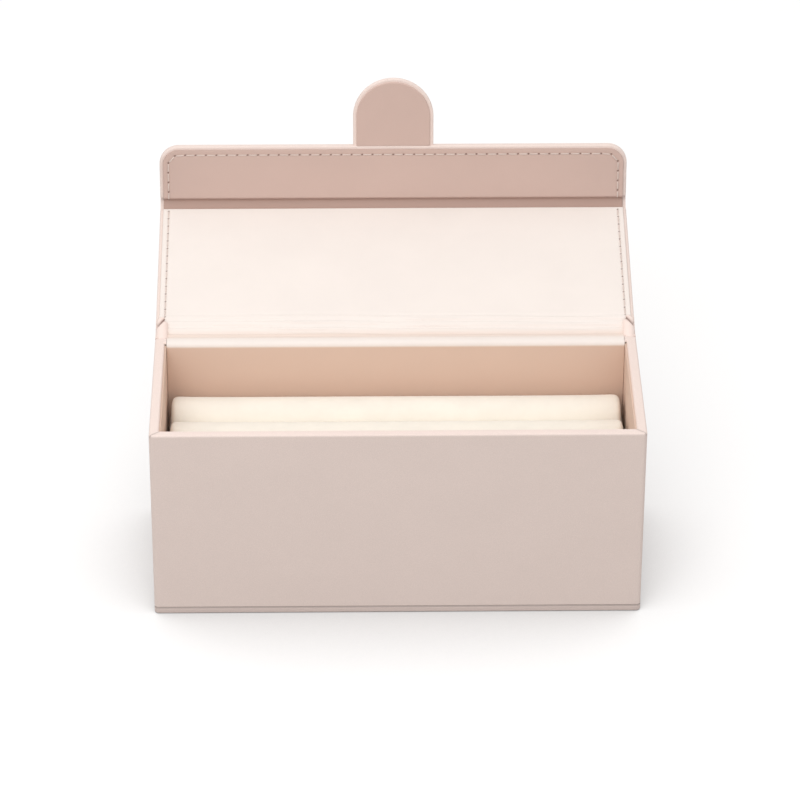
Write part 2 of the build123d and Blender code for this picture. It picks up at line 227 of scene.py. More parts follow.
# Painted shade: the slab is the same pink leather as the tray, with its shade painted into a darker base colour.
SHADED_SLAB_PINK = linear(222, 203, 195)
VELVET_CREAM = linear(244, 237, 225)
THREAD_PINK = linear(240, 222, 212)
# Painted shade in the pits of the seam holes and in the tucks' cracks.
PIT_SHADE_BROWN = linear(128, 99, 89)


def leather(name, colour, grain=0.35 * MM, depth=0.035 * MM, roughness=0.5, fold_lines_and_shade=None):
    """Fine-grained leather: small cells with creases between them, over slow soft swells and a faint mottle.

    The folding function may give lines where the leather is folded, 1 on a line and 0 away from it; each line is
    pressed in and darkened with painted shade.
    """
    finish = Finish(name, Specular_IOR_Level=0.35, Sheen_Weight=0.06)
    place = finish.place()
    cells = finish.node(
        "ShaderNodeTexVoronoi", {"feature": "DISTANCE_TO_EDGE"}, {"Vector": place, "Scale": 1 / grain}
    )
    pebbles = finish.smooth(cells, 0.02, 0.28)
    pores = finish.noise(place, 2.2 / grain, 3.0)
    swells = finish.noise(place, 1 / (9 * MM), 2.0)
    mottle = finish.noise(place, 1 / (22 * MM), 3.0, 0.6)
    crease = (1 - pebbles) * 0.12
    tone = finish.smooth(mottle * 0.8 + pores * 0.2, 0.25, 0.75)
    base = finish.mix(tone, shade(colour, 0.985), shade(colour, 1.01))
    normal = finish.bump(swells, 0.05 * MM)
    normal = finish.bump(pebbles * 0.75 + pores * 0.25, depth, normal)
    if fold_lines_and_shade:
        line = fold_lines_and_shade(finish, place)
        # Painted shade along the fold lines.
        crease = crease + line * 0.7
        normal = finish.bump(1 - line, 0.35 * MM, normal)
    return finish.surface(
        Base_Color=finish.mix(crease, base, shade(colour, 0.5)),
        Roughness=roughness + (mottle - 0.5) * 0.16 + crease * 0.3,
        Normal=normal,
    )


def mitre_creases_with_shade(finish, place):
    """Mitred fold lines on the tray's front corners, at 45 degrees across the rim from corner to corner: pressed
    in, and darkened with painted shade.
    """
    parts = [finish.node("ShaderNodeSeparateXYZ", {}, {0: place}, output=axis) for axis in range(3)]
    beside = TRAY_HIGH.x - finish.node("ShaderNodeMath", {"operation": "ABSOLUTE"}, {0: parts[0]})
    behind = parts[1] - TRAY_LOW.y
    away = finish.node("ShaderNodeMath", {"operation": "ABSOLUTE"}, {0: beside - behind * 1.25})
    on_rim = finish.smooth(parts[2], TRAY_HIGH.z - 1.2 * MM, TRAY_HIGH.z - 0.6 * MM)
    near = 1 - finish.smooth(behind, RIM_WIDTH * 0.75, RIM_WIDTH * 0.95)
    return (1 - finish.smooth(away, 0.05 * MM, 0.28 * MM)) * on_rim * near * 0.6


def slab_seam_groove_and_shade(finish, place):
    """Seam under the tray, with painted shade: the slab's leather darkens towards the top edge where the two meet.
    """
    height = finish.node("ShaderNodeSeparateXYZ", {}, {0: place}, output=2)
    return finish.smooth(height, TRAY_LOW.z - 0.95 * MM, TRAY_LOW.z - 0.30 * MM)


def stitched_leather(name, colour, inside=None):
    """Lining leather with the holes of its seam, which the piece's own hole attribute darkens with painted shade.

    Where the piece's own inside attribute is 1 it takes its inside colour, which paints the shade of a wall,
    valley or crease.
    """
    finish = Finish(name, Specular_IOR_Level=0.28, Sheen_Weight=0.10)
    place = finish.place()
    nap = finish.noise(place, 1 / (0.22 * MM), 3.0, 0.6)
    mottle = finish.noise(place, 1 / (18 * MM), 3.0, 0.6)
    hole = finish.node("ShaderNodeAttribute", {"attribute_name": "seam_hole"}, output=2)
    tone = finish.smooth(mottle * 0.75 + nap * 0.25, 0.28, 0.72)
    base = finish.mix(tone, shade(colour, 0.98), shade(colour, 1.01))
    if inside:
        within = finish.node("ShaderNodeAttribute", {"attribute_name": "inside"}, output=2)
        base = finish.mix(within, base, inside)
    normal = finish.bump(mottle, 0.10 * MM)
    return finish.surface(
        Base_Color=finish.mix(hole, base, PIT_SHADE_BROWN),
        Roughness=0.6 + (nap - 0.5) * 0.15,
        Normal=finish.bump(nap, 0.03 * MM, normal),
    )


def velvet():
    """Short-pile velvet: a fine nap, with soft patches where the pile leans another way."""
    finish = Finish("cream_velvet", Specular_IOR_Level=0.12, Sheen_Weight=0.35, Sheen_Roughness=0.45)
    place = finish.place()
    pile = finish.noise(place, 1 / (0.16 * MM), 2.0, 0.7)
    lean = finish.noise(place, 1 / (7 * MM), 3.0, 0.55)
    tone = finish.smooth(lean * 0.7 + pile * 0.3, 0.3, 0.7)
    return finish.surface(
        Base_Color=finish.mix(tone, shade(VELVET_CREAM, 0.97), shade(VELVET_CREAM, 1.02)),
        Roughness=0.82 + (pile - 0.5) * 0.2,
        Normal=finish.bump(pile, 0.06 * MM, finish.bump(lean, 0.2 * MM)),
    )


def thread():
    """Waxed sewing thread: two plies that twist along the piece's own UV map."""
    finish = Finish("seam_thread", Specular_IOR_Level=0.4)
    where = finish.node("ShaderNodeUVMap", {"uv_map": "along_thread"})
    plies = finish.node(
        "ShaderNodeTexWave",
        {"wave_type": "BANDS", "bands_direction": "DIAGONAL"},
        {"Vector": where, "Scale": 0.9},
        output=1,
    )
    return finish.surface(
        Base_Color=finish.mix(plies, shade(THREAD_PINK, 0.78), THREAD_PINK),
        Roughness=0.55 - plies * 0.1,
        Normal=finish.bump(plies, 0.06 * MM),
    )


def grey_board():
    """Grey board: pressed fibres of mixed tone."""
    finish = Finish("grey_board", Roughness=0.9, Specular_IOR_Level=0.1)
    place = finish.place()
    fibres = finish.noise(place, 1 / (0.6 * MM), 6.0, 0.7)
    return finish.surface(
        Base_Color=finish.ramp(
            fibres, (0.3, linear(120, 110, 98)), (0.55, linear(165, 154, 138)), (0.8, linear(192, 182, 166))
        ),
        Normal=finish.bump(fibres, 0.06 * MM),
    )


def bare_metal(name, colour, roughness):
    """Rolled or plated metal with fine drawn lines."""
    finish = Finish(name, Metallic=1.0)
    place = finish.place()
    stretched = finish.node("ShaderNodeMapping", {}, {"Vector": place, "Scale": (1.0, 12.0, 12.0)})
    lines = finish.noise(stretched, 1 / (1.5 * MM), 4.0, 0.7)
    return finish.surface(
        Base_Color=finish.mix(lines, shade(colour, 0.9), colour),
        Roughness=roughness + (lines - 0.5) * 0.2,
        Normal=finish.bump(lines, 0.01 * MM),
    )


def foam():
    """Open-cell foam."""
    finish = Finish("roll_foam", Roughness=0.95, Specular_IOR_Level=0.05)
    cells = finish.node("ShaderNodeTexVoronoi", {}, {"Vector": finish.place(), "Scale": 1 / (0.7 * MM)})
    return finish.surface(
        Base_Color=finish.ramp(cells, (0.0, linear(198, 192, 176)), (0.6, linear(232, 228, 214))),
        Normal=finish.bump(cells, 0.2 * MM),
    )


OUTER_LEATHER = leather("pink_leather", LEATHER_PINK)
# The slab's finish: painted shade in its base colour, and a painted shade line along its seam under the tray.
SHADED_SLAB_LEATHER = leather("shaded_slab_leather", SHADED_SLAB_PINK, fold_lines_and_shade=slab_seam_groove_and_shade)
TRAY_LEATHER = leather("tray_leather", LEATHER_PINK, fold_lines_and_shade=mitre_creases_with_shade)
# The lid sheet's wall and valley take the walls' painted shade colour by its inside attribute.
LID_LINING = stitched_leather("cream_lining", LID_CREAM, SHADED_WALL_PINK)
TUCK_LEATHER = stitched_leather("tucked_leather", LEATHER_PINK)
# Flap and tab lining: painted shade in the base colour, and a darker painted shade in the gutter's crease.
SHADED_FLAP_LINING = stitched_leather("flap_lining", SHADED_FLAP_PINK, CREASE_SHADE_PINK)
# The tray's side and front linings take the walls' painted shade.
SHADED_WALL_LINING = leather("shaded_wall_lining", SHADED_WALL_PINK, grain=0.25 * MM, depth=0.02 * MM, roughness=0.62)
VELVET = velvet()
THREAD = thread()
BOARD = grey_board()
STEEL = bare_metal("strike_steel", linear(176, 176, 178), 0.38)
NICKEL = bare_metal("nickel_plate", linear(205, 203, 198), 0.22)
FOAM = foam()

SLOT_FINISHES = {
    "leather": OUTER_LEATHER,
    "lining": SHADED_WALL_LINING,
    "velvet": VELVET,
    "board": BOARD,
    "foam": FOAM,
    "steel": STEEL,
    "magnet": NICKEL,
}
for row in frame["record"]["subparts"]:
    node = NODES[row["node"]]
    node.data.materials.clear()
    node.data.materials.append(SLOT_FINISHES[row["material_slot"]])
# The tab lining takes the flap's painted shade; the slab and the tray take their painted shade lines.
for name, finish in (("tab_lining", SHADED_FLAP_LINING), ("base_cover", SHADED_SLAB_LEATHER), ("tray_wrap", TRAY_LEATHER)):
    NODES[name].data.materials[0] = finish


# ---- Meshes from whole arrays ----
def add_object(name, data):
    """Object for a mesh, lamp or camera, linked into the scene."""
    added = bpy.data.objects.new(name, data)
    bpy.context.scene.collection.objects.link(added)
    return added


def mesh_piece(name, points, faces, finish, slot, body=None):
    """Piece from an array of points and a list of arrays of faces, shaded smooth."""
    mesh = bpy.data.meshes.new(name)
    mesh.from_pydata(points.reshape(-1, 3).tolist(), [], [face for block in faces for face in block.tolist()])
    mesh.polygons.foreach_set("use_smooth", np.ones(len(mesh.polygons), bool))
    mesh.materials.append(finish)
    piece = add_object(name, mesh)
    if body:
        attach(piece, body)
    return piece


def vertex_places(mesh):
    """Vertex places of a mesh as an array."""
    places = np.empty(len(mesh.vertices) * 3, np.float32)
    mesh.vertices.foreach_get("co", places)
    return places.reshape(-1, 3).astype(float)


def keep_value(piece, label, value):
    """Keeps a number for each of a piece's points as its attribute."""
    attribute = piece.data.attributes.new(label, "FLOAT", "POINT")
    attribute.data.foreach_set("value", value.astype(np.float32).ravel())


def quads(rows, columns, around=False):
    """Faces of a grid of points in row order; around joins the last column to the first."""
    spans = columns if around else columns - 1
    row, column = np.meshgrid(np.arange(rows - 1), np.arange(spans), indexing="ij")
    following = (column + 1) % columns
    corners = [row * columns + column, row * columns + following]
    corners += [corner + columns for corner in corners[::-1]]
    return np.stack(corners, axis=-1).reshape(-1, 4)


class Route:
    """Line of the side section, in y and z, that a sheet's lined face follows; n is the height over it."""

    def __init__(self, *legs):
        points = np.concatenate(legs)
        steps = np.linalg.norm(np.diff(points, axis=0), axis=1)
        kept = np.concatenate([[True], steps > 1e-7])
        self.points = points[kept]
        steps = np.linalg.norm(np.diff(self.points, axis=0), axis=1)
        self.along = np.concatenate([[0], np.cumsum(steps)])
        ahead = np.gradient(self.points, self.along, axis=0)
        ahead /= np.linalg.norm(ahead, axis=1)[:, None]
        self.up = np.stack([-ahead[:, 1], ahead[:, 0]], axis=1)
        self.length = self.along[-1]

    def place(self, q, n):
        """y and z at distances q along the route and n over it."""
        line = [np.interp(q, self.along, self.points[:, axis]) for axis in (0, 1)]
        up = [np.interp(q, self.along, self.up[:, axis]) for axis in (0, 1)]
        return line[0] + up[0] * n, line[1] + up[1] * n


def straight(start, end, step=0.5 * MM):
    """Points of a straight leg."""
    count = max(int(np.linalg.norm(np.subtract(end, start)) / step), 1) + 1
    return np.linspace(start, end, count)


def arc(centre, radius, first, last, count=24):
    """Points of an arc; the angles go from +Y towards +Z."""
    turn = np.linspace(first, last, count)
    return np.stack([centre[0] + radius * np.cos(turn), centre[1] + radius * np.sin(turn)], axis=1)


def bezier(start, start_pull, end_pull, end, count=40):
    """Points of a cubic curve between two points with two pulls."""
    t = np.linspace(0, 1, count)[:, None]
    corners = [np.asarray(corner) for corner in (start, start_pull, end_pull, end)]
    weights = [(1 - t) ** 3, 3 * t * (1 - t) ** 2, 3 * t ** 2 * (1 - t), t ** 3]
    return sum(weight * corner for weight, corner in zip(weights, corners))


def panel_point(origin, rise, along, height=0.0):
    """Point in y and z of a panel that rises from its hinge."""
    return np.array([
        origin[0] + along * cos(rise) - height * sin(rise),
        origin[1] + along * sin(rise) + height * cos(rise),
    ])


def sheet(name, route, rows, half_width, columns, thickness, relief, finish, slot, inside=None):
    """Leather sheet bent along a route.

    Row i lies at rows[i] along the route, and column j at columns[j] times the row's half width, so
    x = half_width(q) * u. The top is at n = relief(x, q), the underside at n = -thickness, and four
    strips of faces close the edges. inside(q), where it is given, is kept as the piece's inside attribute.
    """
    q, u = np.meshgrid(rows, columns, indexing="ij")
    x = half_width(q) * u
    height, hole = relief(x, q)
    count = x.size
    points = []
    for n in (height, np.full_like(x, -thickness)):
        y, z = route.place(q, n)
        points.append(np.stack([x, y, z], axis=-1).reshape(-1, 3))
    top = quads(*x.shape)
    number = np.arange(count).reshape(x.shape)
    rim = np.concatenate([number[0], number[1:, -1], number[-1, -2::-1], number[-2:0:-1, 0]])
    after = np.roll(rim, -1)
    faces = [top, (top + count)[:, ::-1], np.stack([after, rim, rim + count, after + count], axis=1)]
    piece = mesh_piece(name, np.concatenate(points), faces, finish, slot)
    keep_value(piece, "seam_hole", np.concatenate([hole.ravel(), np.zeros(count)]))
    if inside:
        keep_value(piece, "inside", np.tile(inside(q).ravel(), 2))
    return piece


# ---- Seams ----
def seam_stations(line, pitch):
    """Points at an even pitch along a polyline of (x, q) points."""
    steps = np.linalg.norm(np.diff(line, axis=0), axis=1)
    along = np.concatenate([[0], np.cumsum(steps)])
    count = int(round(along[-1] / pitch))
    stations = np.linspace(0, along[-1], count + 1)
    return np.stack([np.interp(stations, along, line[:, axis]) for axis in (0, 1)], axis=1)


def distance_to(points, x, q):
    """Distance from every (x, q) to the nearest of some points."""
    spots = np.stack([x, q], axis=-1)
    distance = np.full(x.shape, 1.0)
    for point in points:
        distance = np.minimum(distance, np.linalg.norm(spots - point, axis=-1))
    return distance


def seam_relief(x, q, seams):
    """Height and darkness that seams press into a sheet.

    Along each seam the leather sinks in a groove, n = -0.07 mm * exp(-(d / 0.6 mm)^2) for the distance d to
    the seam's line, and at each hole in a pit, n = -0.3 mm * exp(-(d / r)^4). Darkness, a painted shade in the
    pit, is the pit's share.
    """
    height, dark = np.zeros_like(x), np.zeros_like(x)
    for stations in seams:
        off_line = distance_to(seam_stations(stations, GROOVE_PITCH), x, q)
        groove = np.exp(-((off_line / GROOVE_WIDTH) ** 2))
        pit = np.exp(-((distance_to(stations, x, q) / HOLE_RADIUS) ** 4))
        height -= GROOVE_DEPTH * groove + HOLE_DEPTH * pit
        dark = np.maximum(dark, pit)
    return height, dark


def sew(name, route, seams, body):
    """Threads of several seams as one piece: one stitch from each hole to the next.

    A stitch is a tube round its own line. Its radius is r * (1 - (2t - 1)^6)^(1/2), and its middle is
    at n = -0.16 mm + 0.22 mm * sin(pi * t)^(1/2), so that its ends dip into the holes.
    """
    rings, sides = 11, 8
    t = np.linspace(0.02, 0.98, rings)
    turn = np.arange(sides) * 2 * pi / sides
    starts = np.concatenate([stations[:-1] for stations in seams])
    ends = np.concatenate([stations[1:] for stations in seams])
    away = ends - starts
    spans = np.linalg.norm(away, axis=1)
    away /= spans[:, None]
    across = np.stack([-away[:, 1], away[:, 0]], axis=1)
    margin = 0.9 * HOLE_RADIUS
    reach = margin + t[None] * (spans[:, None] - 2 * margin)
    radius = THREAD_RADIUS * np.sqrt(1 - (2 * t - 1) ** 6)
    crest = -STITCH_DIP + STITCH_ARCH * np.sqrt(np.sin(pi * t))
    spot = starts[:, None] + away[:, None] * reach[..., None]
    side = radius[:, None] * np.cos(turn)
    x = spot[..., 0, None] + across[:, None, None, 0] * side
    q = spot[..., 1, None] + across[:, None, None, 1] * side
    n = np.broadcast_to(crest[:, None] + radius[:, None] * np.sin(turn), x.shape)
    y, z = route.place(q, n)
    points = np.stack([x, y, z], axis=-1)
    block = rings * sides
    body_faces = quads(rings, sides, around=True)
    caps = np.stack([np.arange(sides)[::-1], block - sides + np.arange(sides)])
    faces = []
    for number in range(len(starts)):
        faces += [body_faces + number * block, caps + number * block]
    piece = mesh_piece(name, points, faces, THREAD, "leather", body)
    along = np.broadcast_to(reach[..., None] / PLY_LENGTH, x.shape).reshape(-1)
    round_it = np.broadcast_to(turn / (2 * pi), x.shape).reshape(-1)
    corner = np.zeros(len(piece.data.loops), np.int32)
    piece.data.loops.foreach_get("vertex_index", corner)
    layer = piece.data.uv_layers.new(name="along_thread")
    places = np.stack([along[corner], round_it[corner]], axis=1)
    layer.data.foreach_set("uv", places.astype(np.float32).ravel())
    return piece


def graded(low, high, fine, coarse, fine_reach):
    """Stations from low to high: fine steps within fine_reach of both ends, coarse ones between them."""
    near = np.arange(0, fine_reach, fine)
    middle = np.linspace(fine_reach, high - low - fine_reach, int((high - low - 2 * fine_reach) / coarse) + 2)
    return low + np.concatenate([near, middle, (high - low) - near[::-1]])


# ---- Lining sheet: up the inner back wall, over the lip, through the valley and up the lid ----
LID_START = panel_point(LID_AXIS, LID_RISE, REAR_GUTTER)
LID_END = panel_point(LID_AXIS, LID_RISE, LID_LENGTH - FRONT_GUTTER)
LIP_EDGE = np.array([TRAY_HIGH.y, LIP_HIGH.z])
LIP_END = LIP_EDGE - (0.4 * MM, 0)
LIP_CENTRE = (LIP_LOW.y + LIP_RADIUS, LIP_HIGH.z - LIP_RADIUS)
VALLEY_DROP = 3.0 * MM
lid_ahead = np.array([cos(LID_RISE), sin(LID_RISE)])
wall_leg = straight((LIP_LOW.y, FLOOR_TOP), (LIP_LOW.y, LIP_CENTRE[1]))
lip_leg = arc(LIP_CENTRE, LIP_RADIUS, pi, pi / 2)
lip_top_leg = straight((LIP_CENTRE[0], LIP_HIGH.z), LIP_END)
valley_leg = bezier(
    LIP_END,
    LIP_EDGE + (3.0 * MM, -VALLEY_DROP * 0.35),
    LID_START - lid_ahead * 4.4 * MM - (0, 0.3 * MM),
    LID_START,
)
lid_leg = straight(LID_START, LID_END)
lid_route = Route(wall_leg, lip_leg, lip_top_leg, valley_leg, lid_leg)
LIP_TURN_Q = Route(wall_leg, lip_leg).length
LIP_Q = Route(wall_leg, lip_leg, lip_top_leg).length
LID_START_Q = LIP_Q + Route(valley_leg).length
LID_END_Q = lid_route.length
LIP_HALF = SIDE_FACE - 0.06 * MM
LID_HALF = HALF_WIDTH - LINING_INSET


def smoothstep(value, low, high):
    """0 below low, 1 above high, and 3t^2 - 2t^3 between them."""
    t = np.clip((value - low) / (high - low), 0, 1)
    return t * t * (3 - 2 * t)


def lid_half_width(q):
    """Narrow between the tray's sides and over the lip, then spreading to the lid's edge past the gutter."""
    return LIP_HALF + (LID_HALF - LIP_HALF) * smoothstep(q, LID_START_Q - 2.6 * MM, LID_START_Q - 0.2 * MM)


LID_SEAM_X = HALF_WIDTH - STITCH_INSET
LID_SEAM_ENDS = (LID_START_Q + 0.6 * MM, LID_END_Q - 0.8 * MM)
lid_seams = [
    seam_stations(np.array([(side * LID_SEAM_X, q) for q in LID_SEAM_ENDS]), STITCH_PITCH) for side in (-1, 1)
]
WRINKLE_HEIGHT, WRINKLE_PITCH = 0.20 * MM, 2.3 * MM
CREASE_RELIEF, CREASE_PITCH = 0.09 * MM, 1.2 * MM
LIP_WAVE = 0.10 * MM
VALLEY_SHADE, VALLEY_REACH = 0.5, 1.7 * MM


def lid_relief(x, q):
    """Seams, the wrinkles across the valley, and a soft wave along the lip.

    A wrinkle is a ridge along x, n = a * sin(2 pi q / w + bow(x)), and an envelope keeps it in the valley.
    Finer creases, at a pitch of 1.2 mm, lie over the wrinkles at 2.3 mm. The lip's wave is
    n = 0.1 mm * sin(x / 21 mm + 0.8).
    """
    height, dark = seam_relief(x, q, lid_seams)
    into = (q - LIP_Q) / (LID_START_Q - LIP_Q)
    envelope = smoothstep(into, 0.0, 0.35) * (1 - smoothstep(into, 0.75, 1.35))
    bow = 1.3 * np.sin(x / (24 * MM)) + 0.6 * np.sin(x / (7.9 * MM) + 1.0)
    uneven = 0.6 + 0.4 * np.sin(x / (13 * MM) + 2.2 * np.sin(x / (31 * MM)))
    height += envelope * WRINKLE_HEIGHT * np.sin(2 * pi * q / WRINKLE_PITCH + bow)
    height += envelope * uneven * CREASE_RELIEF * np.sin(2 * pi * q / CREASE_PITCH - 2.1 * bow + 0.6)
    lip = np.exp(-(((q - LIP_Q + 1.6 * MM) / (1.8 * MM)) ** 2))
    height += lip * LIP_WAVE * np.sin(x / (21 * MM) + 0.8)
    return height, dark


def wall_and_valley_shade(q):
    """Painted shade on the lining sheet: 1 on the wall up to the lip, 0 on the lid, and a painted shade down in
    the valley.

    That tone is 0.5 * exp(-((q - q0) / 1.7 mm)^2), with q0 at 1.9 mm past the lip.
    """
    wall = 1 - smoothstep(q, LIP_TURN_Q - 2.6 * MM, LIP_TURN_Q - 1.8 * MM)
    return wall + VALLEY_SHADE * np.exp(-(((q - LIP_Q - 1.9 * MM) / VALLEY_REACH) ** 2))


lid_rows = np.concatenate([
    np.linspace(0, LIP_Q - 6 * MM, 24)[:-1],
    np.arange(LIP_Q - 6 * MM, LID_START_Q + 3 * MM, 0.18 * MM),
    np.arange(LID_START_Q + 3 * MM, LID_END_Q, 0.22 * MM),
    [LID_END_Q],
])
lid_columns = graded(-1, 1, 0.22 * MM / LID_HALF, 2 * MM / LID_HALF, 3.2 * MM / LID_HALF)
lid_sheet = sheet(
    "lid_lining_sheet", lid_route, lid_rows, lid_half_width, lid_columns, SHEET_THICKNESS, lid_relief,
    LID_LINING, "lining", inside=wall_and_valley_shade,
)
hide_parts("back_lining", "rear_gutter_lining", "lid_lining")
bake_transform(lid_sheet)
sew("lid_seams", lid_route, lid_seams, "lid")

# ---- Lining sheet of the flap, from the lid's end through the front gutter ----
CREASE_HEIGHT = FRONT_GUTTER / tan(FLAP_FOLD / 2)
CREASE_CENTRE = panel_point(LID_AXIS, LID_RISE, LID_LENGTH - FRONT_GUTTER, CREASE_HEIGHT)
CREASE_DEPTH = 1.35 * MM
bend = np.linspace(0, 1, 60)
crease_radius = CREASE_HEIGHT + CREASE_DEPTH * smoothstep(bend, 0, 0.2) * (1 - smoothstep(bend, 0.72, 1.0))
crease_turn = LID_RISE - pi / 2 + bend * FLAP_FOLD
crease_leg = np.stack([
    CREASE_CENTRE[0] + crease_radius * np.cos(crease_turn),
    CREASE_CENTRE[1] + crease_radius * np.sin(crease_turn),
], axis=1)
flap_leg = straight(
    panel_point(FOLD_AXIS, FLAP_RISE, FRONT_GUTTER),
    panel_point(FOLD_AXIS, FLAP_RISE, FLAP_LENGTH - LINING_INSET),
)
flap_route = Route(crease_leg, flap_leg)
FLAP_START_Q = Route(crease_leg).length
FLAP_END_Q = flap_route.length
FLAP_HALF = HALF_WIDTH - LINING_INSET
CORNER = FLAP_CORNER - LINING_INSET


def flap_half_width(q):
    """Straight sides, then two quarter circles up to the free edge."""
    over = np.clip(q - (FLAP_END_Q - CORNER), 0, CORNER)
    return FLAP_HALF - CORNER + np.sqrt(np.maximum(CORNER ** 2 - over ** 2, (0.25 * MM) ** 2))


def flap_seam_line():
    """The seam's U: up one side, round the corner, across, and down the other side."""
    inset = STITCH_INSET - LINING_INSET
    radius = CORNER - inset
    side, top = FLAP_HALF - inset, FLAP_END_Q - inset
    turn = np.linspace(0, pi / 2, 12)
    right = np.stack([side - radius + radius * np.cos(turn), top - radius + radius * np.sin(turn)], axis=1)
    left = right[::-1] * (-1, 1)
    foot = FLAP_START_Q - 1.2 * MM
    return np.concatenate([[(side, foot)], right, left, [(-side, foot)]])


flap_seams = [seam_stations(flap_seam_line(), STITCH_PITCH)]


def flap_relief(x, q):
    """Seam, and a slow swell of the leather over the board between seam and gutter."""
    height, dark = seam_relief(x, q, flap_seams)
    into = smoothstep(q, FLAP_START_Q, FLAP_START_Q + 3 * MM)
    swell = np.sin(x / (23 * MM) + 0.4) * np.sin(q / (5 * MM)) + 0.5 * np.sin(x / (9 * MM) + 2.0)
    return height + into * 0.05 * MM * swell, dark


flap_rows = np.concatenate([
    np.arange(0, FLAP_END_Q - CORNER, 0.25 * MM),
    FLAP_END_Q - CORNER * (1 - np.sin(np.linspace(0, pi / 2, 26))),
])
flap_columns = graded(-1, 1, 0.2 * MM / FLAP_HALF, 0.3 * MM / FLAP_HALF, 6 * MM / FLAP_HALF)


def crease_shade(q):
    """1 in the crease of the front gutter, where its shade is painted darker, and 0 on the flap."""
    return 1 - smoothstep(q, FLAP_START_Q - 1.4 * MM, FLAP_START_Q + 0.2 * MM)


flap_sheet = sheet(
    "flap_lining_sheet", flap_route, flap_rows, flap_half_width, flap_columns, SHEET_THICKNESS, flap_relief,
    SHADED_FLAP_LINING, "lining", inside=crease_shade,
)
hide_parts("front_gutter_lining", "flap_lining")
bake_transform(flap_sheet)
sew("flap_seam", flap_route, flap_seams, "flap")

# ---- The same seams on the outside of the lid and the flap ----
def outside_route(name, origin, rise, length):
    """Route on a wrapped panel's outer face, from its free end back to its hinge, with n pointing out."""
    spots = vertex_places(NODES[name].data)[:, 1:] - origin
    depth = (spots @ np.array([-sin(rise), cos(rise)])).min()
    return Route(straight(panel_point(origin, rise, length, depth), panel_point(origin, rise, 0, depth)))


lid_outside = outside_route("lid_cover", LID_AXIS, LID_RISE, LID_LENGTH - FRONT_GUTTER)
flap_outside = outside_route("flap_cover", FOLD_AXIS, FLAP_RISE, FLAP_LENGTH - LINING_INSET)
turned_lid_seams = [seam * (1, -1) + (0, LID_END_Q) for seam in lid_seams]
turned_flap_seams = [(seam * (1, -1) + (0, FLAP_END_Q))[3:-3] for seam in flap_seams]
sew("lid_outside_seams", lid_outside, turned_lid_seams, "lid")
sew("flap_outside_seam", flap_outside, turned_flap_seams, "flap")

# ---- Tucked leather at both ends of the rear gutter ----
TUCK_WIDTH = 1.75 * MM
TUCK_HEIGHT = 1.5 * MM
TUCK_RINGS, TUCK_SIDES = 40, 28
CRACK_PLACE, CRACK_SLANT, CRACK_WIDTH, CRACK_DEPTH = 0.74, 0.14, 0.07, 0.55


def tuck(side):
    """Pinched end of the gutter's leather: a soft roll from the tray's corner to the lid's.

    Its middle follows a curve in the side section. Its width and height there are w * f and h * f, with
    f = (1 - |2t - 1|^3.4)^(1/2) * (1 - 0.55 c). The slanting crack that parts it from the lid's corner is
    c = exp(-((t - 0.74 + 0.14 cos(a)) / 0.07)^2), and c^2 paints the crack's shade into its colour.
    """
    line = bezier(
        LIP_EDGE + (-0.9 * MM, -1.6 * MM), LIP_EDGE + (1.2 * MM, -0.6 * MM),
        LID_START - lid_ahead * 2.4 * MM + (0.2 * MM, 0.1 * MM), LID_START - lid_ahead * 0.1 * MM, TUCK_RINGS,
    )
    around = np.arange(TUCK_SIDES)
    t = np.linspace(0.01, 0.99, TUCK_RINGS)[:, None]
    turn = (around * 2 * pi / TUCK_SIDES)[None]
    ahead = np.gradient(line, axis=0)
    ahead /= np.linalg.norm(ahead, axis=1)[:, None]
    crack = np.exp(-(((t - CRACK_PLACE + CRACK_SLANT * np.cos(turn)) / CRACK_WIDTH) ** 2))
    full = np.sqrt(1 - np.abs(2 * t - 1) ** 3.4) * (1 - CRACK_DEPTH * crack)
    x = side * (HALF_WIDTH - TUCK_WIDTH - 0.1 * MM + full * TUCK_WIDTH * np.cos(turn))
    rise = full * TUCK_HEIGHT * np.sin(turn)
    y = line[:, :1] - ahead[:, 1:] * rise
    z = line[:, 1:] + ahead[:, :1] * rise
    caps = np.stack([around[::-1], (TUCK_RINGS - 1) * TUCK_SIDES + around])
    faces = [quads(TUCK_RINGS, TUCK_SIDES, around=True), caps]
    if side > 0:
        faces = [block[:, ::-1] for block in faces]
    name = "gutter_tuck_" + ("left" if side < 0 else "right")
    piece = mesh_piece(name, np.stack([x, y, z], axis=-1), faces, TUCK_LEATHER, "leather")
    # Painted shade: the crack is darkened by this attribute.
    keep_value(piece, "seam_hole", crack ** 2)
    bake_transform(piece)


tuck(-1)
tuck(1)

# ---- Padded rolls: velvet over foam, swollen by a short cloth simulation ----
ROLL_TUCK = 0.95 * MM
ROLL_END_RADIUS = 1.6 * MM
ROLL_REACH = 0.35 * MM
# The section starts this far over the solid's crown. The finished crown ends about 0.2 mm over it.
ROLL_RISE = 0.5 * MM
SLACK = 0.35 * MM
ROLL_POINTS, ROLL_STATIONS = 96, 88
ROLL_VOXEL = 1.1 * MM
SIMULATION_SCALE = 10.0
SWELL_PRESSURE, SWELL_FRAMES = 4.0, 20
SWELL_CAP = 0.45 * MM
GLUED_HEIGHT = 0.8 * MM


